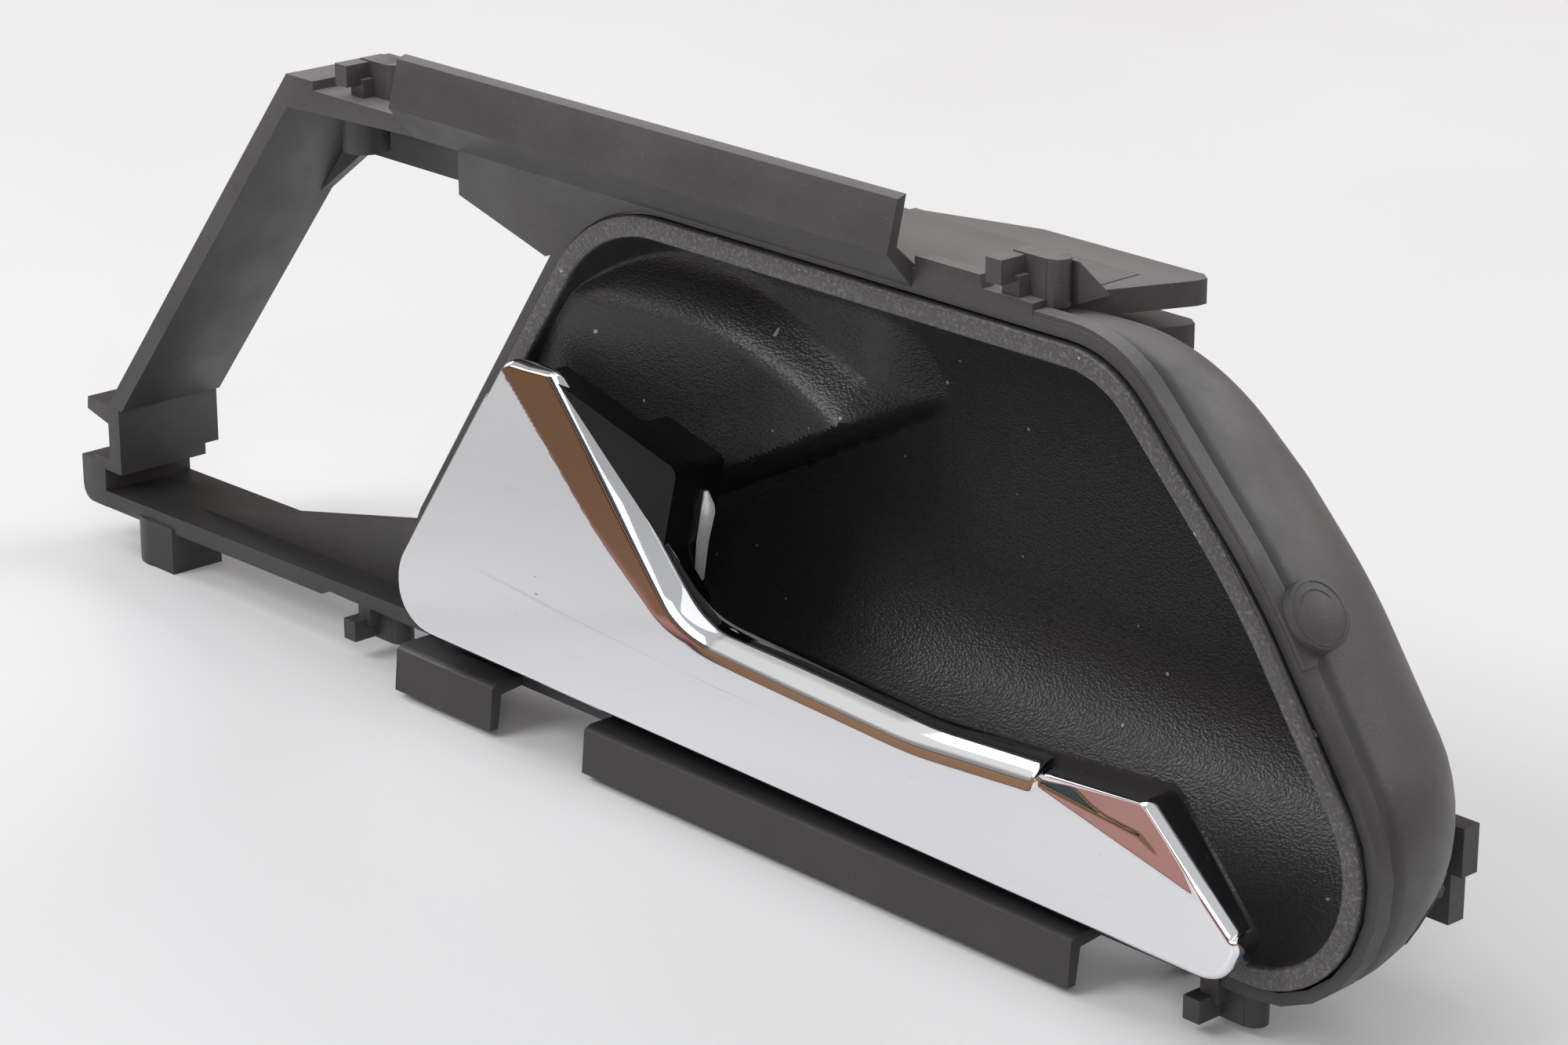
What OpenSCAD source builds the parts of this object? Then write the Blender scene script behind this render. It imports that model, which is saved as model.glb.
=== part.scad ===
// Car interior door handle: a moulded carrier with a pull bowl and a chromed lever
// that turns about a slanted pin behind its wide left end.
// Drawn with X along the handle, Y back into the door and Z up.

/* [Bowl outline] */
// Height of the bowl rim, outside
rim_h = 65.0; // [60:0.5:70]
// Height of the rim's lower edge over the surface the handle stands on
rim_lift = 7.6; // [7:0.1:9]
// Width of the rim's front face
rim_w = 2.6; // [2:0.1:4]
// Thickness of the rim's flange
rim_t = 1.6; // [1.2:0.1:2.5]
// Wall of the bowl
bowl_t = 1.7; // [1.2:0.1:2.2]
// Depth of the bowl behind the rim
bowl_depth = 26.0; // [22:0.5:30]
// Gap between the bowl and the carrier around it
bowl_gap = 0.35; // [0.3:0.05:0.6]

/* [Carrier] */
// Depth of the carrier's walls
band_d = 17.5; // [14:0.5:20]
// Wall of the ring around the bowl
ring_t = 1.5; // [1.2:0.1:2.5]
// Set-back of the carrier's front behind the rim
front_set = 0.8; // [0.5:0.1:1.5]
// Wall of the slanted strut
strut_t = 2.7; // [2:0.1:4]
// Thickness of the bottom rail
rail_t = 2.4; // [1.8:0.1:3]
// Thickness of the top wall
top_t = 1.9; // [1.5:0.1:3]
// Wall of the rounded end shell
shell_t = 1.8; // [1.4:0.1:2.5]

/* [Mounting flanges] */
// Height of the bottom flanges
flange_h = 5.6; // [4:0.1:8]
// Distance of the bottom flanges in front of the rim
flange_out = 4.2; // [3:0.1:6]
// Thickness of the flanges
flange_t = 1.3; // [1:0.1:2]
// Length of the long bottom flange
long_flange = 83.0; // [60:1:90]
// Length of the short bottom flange
short_flange = 19.5; // [12:0.5:24]
// Length of the top flange
top_flange = 89.0; // [70:1:95]
// Height of the top flange
top_flange_h = 6.4; // [4:0.1:8]

/* [Hinge] */
// Radius of the hinge pin
pin_r = 1.5; // [1:0.1:2]
// Radial clearance of the pin in the lever's barrel
pin_clear = 0.05; // [0.02:0.01:0.1]
// Radius of the lever's barrel
barrel_r = 3.3; // [2.8:0.1:3.6]
// Length of the lever's barrel
barrel_l = 18.0; // [14:0.5:20]
// Length of the coiled part of the return spring
spring_l = 6.4; // [5:0.1:7]
// Wire of the return spring
wire_d = 0.9; // [0.6:0.1:1.2]
// Thickness of the two ears that hold the pin
ear_t = 2.6; // [2:0.1:4]
// Play at each end of the barrel
end_play = 0.3; // [0.2:0.05:0.5]

/* [Lever] */
// Thickness of the chromed cap's wall
cap_t = 1.1; // [0.9:0.1:1.3]
// Gap between the cap and the lever's body
cap_gap = 0.2; // [0.1:0.05:0.3]
// How far the cap's flat face stands in front of the rim at mid height
cap_out = 5.8; // [5:0.1:7]
// Slope of the grip's flat face, forward with height
cap_lean = 0.155; // [0.08:0.005:0.2]
// Width of the rounding along the cap's upper edge
cap_round = 2.4; // [1.6:0.1:2.8]
// Thickness of the lever's body behind the cap along the grip
grip_t = 2.6; // [1.5:0.1:4]

/* [Hidden] */

// Shift from drawing coordinates, which start at the rim's front, to the part's own
// origin: the middle of the standing surface.
half_len = 119.035;
left_x = -148.3;
mid_x = left_x + half_len;
mid_y = 11.53;
rim_top = 31.6;
rim_low = rim_top - rim_h;
rim_mid = rim_top - rim_h / 2;
floor_z = rim_low - rim_lift;

rail_low = rim_low - 1.9;
rail_back = band_d - 2.3;
foot_z = floor_z;

// Corner radii and corner points of the rim, counter-clockwise from the lower left.
side_slope = 0.688;
left_low_x = -51.3 + side_slope * (rim_low - 7.1);
left_top_x = -51.3 + side_slope * (rim_top - 7.1);
RIM = [
    [left_low_x, rim_low, 10],
    [102.0, rim_low, 15.3],
    [71.0, 11.0, 80],
    [50.5, rim_top, 15],
    [left_top_x, rim_top, 22]
];
corner_steps = 6;
edge_steps = 14;

// Directions of the slanted left side: along it, and across it into the bowl.
along = [0.567, 0.824];
across = [0.824, -0.567];
side_ref = [-51.3, 7.1];
function side_pt(a, d) = side_ref + a * along + d * across;

// Points, corners and rounded outlines
function unit(v) = v / norm(v);
function left_of(v) = [-v[1], v[0]];
function turned(v, a) = [v[0] * cos(a) - v[1] * sin(a), v[0] * sin(a) + v[1] * cos(a)];
function flat(p) = [p[0], p[1]];
function corner(a, b, c, r, inset, steps) =
    let (
        e1 = unit(b - a),
        e2 = unit(c - b),
        n1 = left_of(e1),
        n2 = left_of(e2),
        way = sign(e1[0] * e2[1] - e1[1] * e2[0]),
        turn = way * acos(max(-1, min(1, e1 * e2))),
        rr = max(0.05, r - way * inset),
        mid = b + (n1 + n2) / (1 + n1 * n2) * (inset + way * rr)
    )
    [for (i = [0 : steps]) mid - way * rr * turned(n1, turn * i / steps)];
function between(a, b, n) = n < 1 ? [] : [for (k = [1 : n]) a + (b - a) * k / (n + 1)];
function outline(P, inset = 0, steps = 8, fill = 0) =
    let (
        n = len(P),
        C = [for (i = [0 : n - 1])
            corner(flat(P[(i + n - 1) % n]), flat(P[i]), flat(P[(i + 1) % n]), P[i][2], inset, steps)]
    )
    [for (i = [0 : n - 1]) each concat(C[i], between(C[i][steps], C[(i + 1) % n][0], fill))];
function smooth(t) = let (u = max(0, min(1, t))) u * u * (3 - 2 * u);

// A flat outline in X and Z, given depth from y0 to y1
module slab(y0, y1) {
    translate([0, y1, 0]) rotate([90, 0, 0]) linear_extrude(y1 - y0) children();
}
module box(x0, x1, y0, y1, z0, z1) {
    translate([x0, y0, z0]) cube([x1 - x0, y1 - y0, z1 - z0]);
}
// Things drawn along the slanted hinge axis: local Z runs up the axis
hinge_d = 7.0;
hinge_y = 7.6;
tilt = atan2(along[0], along[1]);
module on_axis(a) {
    p = side_pt(a, hinge_d);
    translate([p[0], hinge_y, p[1]]) rotate([0, tilt, 0]) children();
}
// Closed skin through rings of equal length, each end closed to its middle
function middle(ring) = [for (p = ring) 1] * ring / len(ring);
module skin_of(rings) {
    n = len(rings[0]);
    m = len(rings);
    ends = [middle(rings[0]), middle(rings[m - 1])];
    tris = [for (k = [0 : m - 2]) for (i = [0 : n - 1])
        let (a = k * n + i, b = k * n + (i + 1) % n)
        each [[a, b, b + n], [a, b + n, a + n]]];
    first = [for (i = [0 : n - 1]) [n * m, (i + 1) % n, i]];
    last = [for (i = [0 : n - 1]) [n * m + 1, (m - 1) * n + i, (m - 1) * n + (i + 1) % n]];
    polyhedron(points = concat([for (r = rings) each r], ends), faces = concat(first, tris, last));
}

// Bowl: the wall runs back from the rim and rounds over to a core line
core_a = [-24, rim_mid - 7.1];
core_b = [60, rim_mid - 10.1];
core_end = 0.93;
bowl_power = 2.2;
function core_pt(p) =
    let (t = max(0, min(1, (p[0] - core_a[0]) / (core_b[0] - core_a[0]))))
    core_a + t * (core_b - core_a);
function wall_depth(s, depth) = depth * pow(1 - pow(1 - s, bowl_power), 1 / bowl_power);
// The cheek over the hinge: a shelf in the upper left, deeper to the right
cheek_y0 = 1.6;
cheek_slope = 0.55;
cheek_max = 10.5;
function cheek_y(x) = min(cheek_max, max(cheek_y0, cheek_y0 + cheek_slope * (x + 39)));
// Its crest and lower edge as lines: a point [x, z], a slope and the width of the turn
crest_pt = [-30, rim_mid + 18.5];
crest_slope = -0.19;
crest_turn = 6.0;
sill_pt = [-25.4, rim_mid - 3.5];
sill_slope = 0.527;
sill_turn = 4.5;
cheek_end_x = 6.0;
cheek_fade = 8.0;
function cheek_part(x, z) =
    smooth((crest_pt[1] + crest_slope * (x - crest_pt[0]) - z) / crest_turn + 0.5)
    * smooth((z - sill_pt[1] - sill_slope * (x - sill_pt[0])) / sill_turn + 0.5)
    * smooth((cheek_end_x - x) / cheek_fade);
function bowl_y(x, z, y) =
    let (c = cheek_y(x), w = cheek_part(x, z))
    y <= c ? y : y + (c - y) * w;
function bowl_ring(inset, s, depth, extra) =
    [for (p = outline(RIM, inset, corner_steps, edge_steps))
        let (q = p + s * (core_pt(p) - p), y = wall_depth(s, depth))
        [q[0], bowl_y(q[0], q[1], y) + extra, q[1]]];
wall_rings = 12;
function ring_s(k) = core_end * pow(k / wall_rings, 1.7);
function rim_ring(inset, y) =
    [for (p = outline(RIM, inset, corner_steps, edge_steps)) [p[0], y, p[1]]];

module frame() {
    color([0.13, 0.13, 0.13]) placed() {
        difference() {
            union() {
                ring();
                strut();
                rail();
                top_wall();
                gusset();
                top_flange();
                bottom_flange(51.3 - long_flange, 51.3);
                bottom_flange(-49.7 - short_flange, -49.7);
                clips();
                fork_plates();
                hinge_bay();
                rear_tabs();
                disc_boss();
            }
            pin_holes();
            arm_slot();
        }
        end_shell();
    }
}
module placed() {
    translate([-mid_x, -mid_y, -floor_z]) children();
}
ring_in = -bowl_gap;
ring_out = -bowl_gap - ring_t;
shell_x = 30;
lip_x = 38.4;
lip_out = 0.55;
module ring() {
    slab(front_set + 0.1, 3.1) intersection() {
        difference() {
            polygon(outline(RIM, ring_out - lip_out));
            polygon(outline(RIM, ring_out + 0.3));
        }
        translate([lip_x, 4]) square([40, 60]);
    }
    slab(front_set, 3.2) difference() {
        polygon(outline(RIM, ring_out));
        polygon(outline(RIM, ring_in));
    }
    slab(3, band_d) intersection() {
        difference() {
            polygon(outline(RIM, ring_out));
            polygon(outline(RIM, ring_in));
        }
        translate([-100, -60]) square([100 + shell_x, 120]);
    }
}
strut_top = 36.0;
// Slanted strut and the short upright under it
wall_x = -138.5;
wall_top = rail_low + 15.3;
corner_x = -95.5;
module strut() {
    lean = (corner_x - (wall_x - strut_t)) / (strut_top - wall_top);
    wide = strut_t * sqrt(1 + lean * lean);
    slab(front_set, band_d) polygon([
        [wall_x - strut_t, wall_top],
        [wall_x, wall_top],
        [wall_x - strut_t + wide, wall_top],
        [corner_x + wide, strut_top],
        [corner_x, strut_top]
    ]);
    slab(front_set, band_d) polygon([
        [wall_x - strut_t, rail_low + 7.3],
        [wall_x, rail_low + 7.3],
        [wall_x, wall_top + 0.2],
        [wall_x - strut_t, wall_top + 0.2]
    ]);
    box(-145.2, wall_x, front_set, rail_back, rail_low + 5.7, rail_low + 7.4);
    box(-145.2, -142.6, 7.0, rail_back, rail_low, rail_low + 6.3);
    // Hook on the outside of the upright
    slab(front_set, 5.5) translate([0, wall_top]) polygon([
        [-146.0, 0.4], [-146.2, -1.4], [-141, -2.6], [-140, 0.4]
    ]);
}
module rail() {
    // Corner block and floor
    slab(front_set, 7.5) polygon(outline([
        [-148.3, rail_low, 2.2],
        [-142.6, rail_low, 0.1],
        [-142.6, rail_low + 6.7, 0.1],
        [-148.3, rail_low + 6.7, 0.3]
    ], 0, 4));
    difference() {
        union() {
            rail_floor();
            rail_wall();
        }
        slab(0, 30) polygon(outline(RIM, ring_in - 0.3));
    }
    // Foot at the left end
    translate([-132, 5.8, foot_z]) cylinder(h = rail_low - foot_z + 1, r = 5.6, $fn = 64);
    box(-132, -126.2, 0.4, 8.6, foot_z, rail_low + 1);
}
module rail_floor() {
    slab(front_set, rail_back) polygon([
        [-146, rail_low],
        [-137.7, rail_low + 0.1],
        [-92, rail_low + 0.8],
        [-91, rail_low + 1.6],
        [-60, rail_low + 1.6],
        [-60, rail_low + 1.6 + rail_t],
        [-121, rail_low + rail_t + 0.5],
        [-143, rail_low + rail_t]
    ]);
}
// Wall that rises behind the rail toward the ring
module rail_wall() {
    slab(6, 7.8) polygon([
        [-130, rail_low + 2], [-79.5, rail_low + 13.1], [-69, rail_low + 15.5], [-66, rail_low + 2]
    ]);
}
wall_top_z = 34.8;
module top_wall() {
    slab(front_set, 2.6) polygon([
        [-96.5, 31.6],
        [-60, 33.0],
        [-58, rim_top + 0.6],
        [38.6, rim_top + 0.6],
        [38.6, wall_top_z],
        [31.0, wall_top_z],
        [30.6, 36.3],
        [20.5, 36.3],
        [20.5, wall_top_z],
        [-89.8, wall_top_z],
        [-89.8, strut_top],
        [-95.6, strut_top]
    ]);
    box(-97, 38.6, 2, band_d, wall_top_z - top_t, wall_top_z);
    box(-95, -89.8, 2, 6.5, wall_top_z - 0.5, strut_top);
    // Back rib, which closes the top rail behind the window
    slab(band_d - 1.9, band_d - 0.2) polygon([
        [-111, 13.6], [-99, 22.4], [-44.5, 22.4], [-36, wall_top_z - 0.2], [-97, wall_top_z - 0.2]
    ]);
    // Round boss under the top wall
    translate([-90.5, 9.6, 25.4]) cylinder(h = wall_top_z - 26.4, r = 3.1, $fn = 48);
}
module gusset() {
    difference() {
        slab(front_set, 2.8) polygon([
            [-60.2, 33.4], [-60.2, 27.0], [-43.6, 22.6], [-36, 26], [-28, 33.4]
        ]);
        slab(0, 4) polygon(outline(RIM, ring_in));
    }
}
// Top flange: a sloping web and a plate that leans back
top_flange_x = -69.0;
module top_flange() {
    lean = 0.25;
    foot_y = -3.0;
    foot = 37.0;
    translate([top_flange_x, 0, 0]) rotate([90, 0, 90]) linear_extrude(top_flange) polygon([
        [foot_y, foot],
        [foot_y + lean * top_flange_h, foot + top_flange_h - 0.4],
        [foot_y + lean * top_flange_h + flange_t, foot + top_flange_h],
        [foot_y + flange_t + 0.2, foot + 0.6],
        [1.6, wall_top_z],
        [1.6, 32.6],
        [front_set, 32.6]
    ]);
}
web_z = rim_low - 1.0;
module bottom_flange(x0, x1) {
    h = flange_h;
    translate([x0, 0, 0]) rotate([90, 0, 90]) linear_extrude(x1 - x0) polygon([
        [-flange_out, web_z],
        [-flange_out + 1.0, web_z + 0.5],
        [3.5, web_z + 0.5],
        [3.5, web_z - 0.4],
        [-flange_out + flange_t + 0.2, web_z - flange_t + 0.2],
        [-flange_out + flange_t - 0.5, web_z - h],
        [-flange_out - 0.5, web_z - h]
    ]);
}
// Clips: a nose on a stem, with a rounded body behind it
module clip(x, z, way, y) {
    s = way;
    lo = s > 0 ? z : z - 4.6;
    box(x, x + 2.4, y - 3.6, y + 1, s > 0 ? z + 1.6 : z - 4.4, s > 0 ? z + 4.4 : z - 1.6);
    box(x + 0.6, x + 3.2, y - 1.6, y + 2, s > 0 ? z - 0.8 : z - 2.4, s > 0 ? z + 2.4 : z + 0.8);
    box(x + 0.6, x + 5.6, y, y + 3.4, s > 0 ? z - 0.8 : z - 4.6, s > 0 ? z + 4.6 : z + 0.8);
    translate([x + 5.6, y + 1.7, lo - (s > 0 ? 0.8 : 0)]) cylinder(h = 5.4, r = 1.65, $fn = 32);
}
stay_x = lip_x + 1.0;
stay_y = 5.5;
stay_t = 1.6;
stay_deep = 5.0;
stay_tall = 4.2;
module clips() {
    clip(-85.2, wall_top_z, 1, 4.6);
    clip(33.0, wall_top_z, 1, 2.8);
    clip(-84.6, rail_low + 1.6, -1, 2.4);
    clip(65.6, rim_low - bowl_gap - ring_t + 0.3, -1, 2.0);
    // Triangular stay behind the right-hand top clip
    translate([stay_x, 0, 0]) rotate([90, 0, 90]) linear_extrude(stay_t) polygon([
        [stay_y, wall_top_z - 0.5], [stay_y + stay_deep, wall_top_z - 0.5], [stay_y, wall_top_z + stay_tall]
    ]);
}
// Two level plates behind the upper right, with a slot between them
plate_t = 2.9;
slot_h = 2.6;
plate_back = band_d + 5.5;
plate_low = wall_top_z - 0.1 - 2 * plate_t - slot_h;
module fork_plate(z, front, trim) {
    translate([0, 0, z]) linear_extrude(plate_t) polygon([
        [-4, front],
        [4, band_d + 1.2],
        [18.6, plate_back],
        [43.2 - trim, plate_back],
        [44.6 - trim, plate_back - 1.0],
        [44.5 - trim, plate_back - 2.4],
        [37.4 + 0.43 * (front - 4.2) - trim, front]
    ]);
}
module fork_plates() {
    fork_plate(wall_top_z - plate_t - 0.1, 4.2, 0);
    fork_plate(plate_low, band_d - 1.6, 1.6);
    box(2, 9, band_d - 1.6, band_d + 1.4, plate_low, wall_top_z - 0.2);
}
// Ears and back wall that carry the hinge pin behind the lever's wide end
ear_gap = barrel_l + spring_l + 2 * end_play;
bay_tall = ear_gap + 2 * ear_t;
side_low = (rim_low - side_ref[1]) / along[1];
side_high = 13.35;
ear_low = (side_low + side_high - bay_tall) / 2;
ear_reach = 4.6;
bay_back = band_d - 1.8;
bay_wide = 16.0;
bay_wall = 1.6;
module ear(a) {
    on_axis(a) translate([-hinge_d - 1.2, -ear_reach, 0])
        cube([hinge_d + 1.2 + ear_reach, bay_back - hinge_y + ear_reach + 1, ear_t]);
}
module hinge_bay() {
    ear(ear_low);
    ear(ear_low + ear_t + ear_gap);
    on_axis(ear_low) translate([-hinge_d - 1.2, bay_back - hinge_y, 0])
        cube([bay_wide + 1.2, bay_wall, bay_tall]);
}
module pin_holes() {
    on_axis(ear_low - 1) cylinder(h = bay_tall + 2, r = pin_r + 0.02, $fn = 48);
}
// Slot in the bay's back wall for the lever's cable arm
arm_a = 6.0;
arm_t = 4.0;
arm_w = 5.0;
eye_r = 1.6;
slot_play = 0.8;
module arm_slot() {
    on_axis(barrel_a + arm_a - slot_play) translate([-arm_w / 2 - slot_play, bay_back - hinge_y - 1, 0])
        cube([arm_w / 2 + slot_play + 9.6, 4, arm_t + 2 * slot_play]);
}
barrel_a = ear_low + ear_t + end_play;
module disc_boss() {
    translate([75.9 - 0.8, 5.2, 8.3 - 0.56]) rotate([0, atan2(0.82, 0.573), 0])
        cylinder(h = 1.9, r = 4.05, $fn = 64);
}
shell_depth = bowl_depth + bowl_t + 0.6 + shell_t;
// Two tabs at the back of the shell, low on its right, and a web under the bowl
tab_x = 73.4;
tab_reach = 8.6;
tab_shift = 1.0;
tab_t = 2.6;
tab_y = shell_depth - 5.6;
tab_low = rim_low + 1.9;
tab_mid = tab_low + 6.1;
tab_top = tab_mid + 5.8;
web_x = 54.0;
web_t = 3.0;
module rear_tabs() {
    box(web_x, web_x + web_t, 11, 19, foot_z + 0.3, rim_low - 0.3);
    box(tab_x, tab_x + tab_reach, tab_y, tab_y + tab_t, tab_mid, tab_top);
    low_x = tab_x - tab_shift;
    box(low_x, low_x + tab_reach - 0.5, tab_y, tab_y + tab_t, tab_low, tab_mid + 0.3);
}
// Rounded shell around the bowl's right-hand end
shell_rings = 8;
function shell_ring(inset, s, depth) =
    [for (p = outline(RIM, inset, 6, 5))
        let (q = p + s * (core_pt(p) - p))
        [q[0], 3 + wall_depth(s, depth - 3), q[1]]];
module end_shell() {
    intersection() {
        skin_of(concat(
            [for (k = [shell_rings : -1 : 0])
                shell_ring(ring_in - 0.15, core_end * pow(k / shell_rings, 1.6), shell_depth - shell_t)],
            [for (k = [0 : shell_rings])
                shell_ring(ring_out + 0.18, core_end * pow(k / shell_rings, 1.6), shell_depth)]
        ));
        box(shell_x, RIM[1][0] + ring_out + 10, 0, 2 * shell_depth, 2 * rim_low, 2 * rim_top);
    }
}
module bowl() {
    inner = [for (k = [wall_rings : -1 : 1]) bowl_ring(rim_w, ring_s(k), bowl_depth, 0)];
    outer = [for (k = [1 : wall_rings])
        bowl_ring(rim_w - bowl_t, ring_s(k), bowl_depth, bowl_t)];
    color([0.07, 0.07, 0.07]) placed() difference() {
        skin_of(concat(
            inner,
            [rim_ring(rim_w, 0.35)],
            [rim_ring(rim_w - 0.25, 0)],
            [rim_ring(0.25, 0)],
            [rim_ring(0, 0.3)],
            [rim_ring(0, rim_t)],
            [rim_ring(rim_w - bowl_t, rim_t)],
            outer
        ));
        bay_cut();
    }
}
// Opening in the bowl for the hinge bay
bay_play = 0.4;
module bay_cut() {
    tall = bay_tall + 2 * bay_play;
    reach = bay_wide - hinge_d + bay_play;
    on_axis(ear_low - bay_play) {
        translate([-hinge_d - 2, rim_t + bay_play - hinge_y, 0]) cube([hinge_d + 2 + reach, 40, tall]);
        translate([rim_w + bay_play - hinge_d, -hinge_y - 1, 0])
            cube([reach - rim_w - bay_play + hinge_d, 40, tall]);
    }
}

grip_top = rim_low + 19.8;

// Lever: outline of the chromed cap, counter-clockwise from the lower left
CAP = [
    [-73.9, rim_low + 3.0, 6.5],
    [73.2, rim_low + 1.2, 5.5],
    [76.4, rim_low + 7.0, 2.0],
    [64.0, grip_top + 1.0, 2.0],
    [28.0, grip_top - 1.8, 60],
    [-9.8, grip_top, 14],
    [-37.6, 9.9, 3.0],
    [-45.4, 10.3, 2.4]
];
cap_core_a = [-57, rim_low + 15.4];
cap_core_b = [64, rim_low + 9.9];
function cap_core(p) =
    let (t = max(0, min(1, (p[0] - cap_core_a[0]) / (cap_core_b[0] - cap_core_a[0]))))
    cap_core_a + t * (cap_core_b - cap_core_a);
function across_of(x, z) = ([x, z] - side_ref) * across;
function smax(a, b, k) =
    let (h = max(0, min(1, 0.5 + (a - b) / (2 * k))))
    a * h + b * (1 - h) + k * h * (1 - h);
// Front face: flat over the wide end, leaning along the grip, scooped at the right end
scoop_deep = 1.7;
function scoop(x, z) =
    let (e = z - grip_top + 2.6 + 0.262 * (x - 47))
    scoop_deep * smooth(e / 2.6) * smooth((x - 47) / 6);
function face_y(x, z) =
    smax(-4.8 - 0.054 * (across_of(x, z) - 2.8), -1.2 - cap_out + cap_lean * (grip_top - 1.6 - z), 0.35)
    + scoop(x, z);
function back_y(x) = -3.0 + 1.5 * smooth((x + 13) / 20);
function upper(x, z) = smooth((z - grip_top + 8.4) / 5 + 0.5) * smooth((across_of(x, z) - 4) / 4);
function round_off(i, r) = let (u = max(0, 1 - i / r)) 1 - sqrt(max(0, 1 - u * u));
function cap_y(x, z, i) =
    let (f = face_y(x, z), w = upper(x, z))
    f + w * max(0, back_y(x) - f - cap_t - 0.3) * round_off(i, cap_round)
    + (1 - w) * 0.5 * round_off(i, 0.7);
function cap_line(inset) = outline(CAP, inset, 6, 5);
// Rings of the cap's skin, moved in by some thickness
function cap_edge_ring(inset, back, i) =
    [for (p = cap_line(inset + i)) [p[0], cap_y(p[0], p[1], i) + back, p[1]]];
function cap_face_ring(inset, back, s) =
    [for (p = cap_line(inset + cap_round))
        let (q = p + s * (cap_core(p) - p)) [q[0], face_y(q[0], q[1]) + back, q[1]]];
function cap_back_ring(inset, extra) =
    [for (p = cap_line(inset)) [p[0], back_y(p[0]) + extra, p[1]]];
// Rear of the lever's body: thick behind the grip, thin over the hinge side
function rear_y(x, z) = back_y(x) + 0.8 + (grip_t - 0.8) * smooth((across_of(x, z) - 8) / 6);
function rear_ring(inset, s) =
    [for (p = cap_line(inset))
        let (q = p + s * (cap_core(p) - p)) [q[0], rear_y(q[0], q[1]), q[1]]];
edge_insets = [0, 0.1, 0.3, 0.6] * cap_round;
face_steps = [0, 0.35, 0.7, 0.985];
function cap_skin(inset, back) = concat(
    [for (i = edge_insets) cap_edge_ring(inset, back, i)],
    [for (s = face_steps) cap_face_ring(inset, back, s)]
);
function flip(L) = [for (k = [len(L) - 1 : -1 : 0]) L[k]];
module lever_cap() {
    color([0.8, 0.8, 0.82]) placed() skin_of(concat(
        flip(cap_skin(0, 0)),
        [cap_back_ring(0, 0)],
        [cap_back_ring(cap_t, 0)],
        cap_skin(cap_t, cap_t)
    ));
}
body_in = cap_t + cap_gap;
module lever_body() {
    color([0.05, 0.05, 0.05]) placed() difference() {
        union() {
            skin_of(concat(
                flip(cap_skin(body_in, body_in + 0.3)),
                [cap_back_ring(body_in, 0.45)],
                [rear_ring(body_in + 1.2, 0)],
                [rear_ring(body_in + 1.2, 0.985)]
            ));
            wedge();
            on_axis(barrel_a) cylinder(h = barrel_l, r = barrel_r, $fn = 64);
            neck();
            cable_arm();
        }
        on_axis(barrel_a - 1) cylinder(h = barrel_l + 2, r = pin_r + pin_clear, $fn = 48);
        eye();
    }
}
wedge_back = 5.0;
module wedge() {
    slab(back_y(left_x) + 0.1, 1.0) polygon(outline([
        [-56.0, grip_top - 2.4, 1],
        [-19.5, grip_top - 4.4, 1],
        [-13.6, grip_top + 0.2, 0.5],
        [-18.4, -9.0, 4],
        [-15.4, 3.1, 1.2],
        [-40.6, 9.6, 1.2]
    ], 0, 5));
    slab(0.5, wedge_back) polygon(outline([
        [-30.0, grip_top - 2.4, 1],
        [-19.8, grip_top - 2.0, 1],
        [-18.6, -8.0, 2],
        [-15.6, 2.9, 1.2],
        [-27.0, 5.8, 1.2]
    ], 0, 5));
}
neck_back = 2.0;
module neck() {
    on_axis(barrel_a) translate([0, -9.5, 0]) cube([8.6, 9.5 + neck_back, barrel_l - 0.4]);
}
arm_reach = 13.6;

module cable_arm() {
    on_axis(barrel_a + arm_a) {
        translate([-arm_w / 2, 1.5, 0]) cube([arm_w, arm_reach - 1.5, arm_t]);
        translate([0, arm_reach, 0]) cylinder(h = arm_t, r = eye_r + 1.6, $fn = 48);
    }
}
module eye() {
    on_axis(barrel_a + arm_a - 1) translate([0, arm_reach, 0]) cylinder(h = arm_t + 2, r = eye_r, $fn = 32);
}
module hinge_pin() {
    color([0.6, 0.6, 0.6]) placed()
        on_axis(ear_low - 0.2) cylinder(h = bay_tall + 0.4, r = pin_r, $fn = 48);
}
// Torsion spring around the pin above the barrel, with one leg on the bay and one on the lever
coil_r = pin_r + 0.25 + wire_d / 2;
module return_spring() {
    color([0.6, 0.6, 0.6]) placed() on_axis(barrel_a + barrel_l + end_play) {
        difference() {
            cylinder(h = spring_l - 0.5, r = coil_r + wire_d / 2, $fn = 48);
            translate([0, 0, -1]) cylinder(h = spring_l + 1.5, r = coil_r - wire_d / 2, $fn = 48);
        }
        translate([coil_r - wire_d / 2, 0, spring_l - 1.5]) rotate([-90, 0, 0])
            cylinder(h = bay_back - hinge_y - 0.1, r = wire_d / 2, $fn = 24);
    }
}
// Rubber buffer on the bay's back wall that the lever's heel rests on
module stop_buffer() {
    color([0.1, 0.1, 0.1]) placed() on_axis(barrel_a + 13) translate([6.0, bay_back - hinge_y, 0])
        rotate([90, 0, 0]) cylinder(h = bay_back - hinge_y - neck_back - 0.1, r = 2.0, $fn = 32);
}

frame();
bowl();
lever_body();
lever_cap();
hinge_pin();
return_spring();
stop_buffer();
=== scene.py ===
import math

import bmesh
import bpy
import numpy as np
from mathutils import Matrix, Vector


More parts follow.
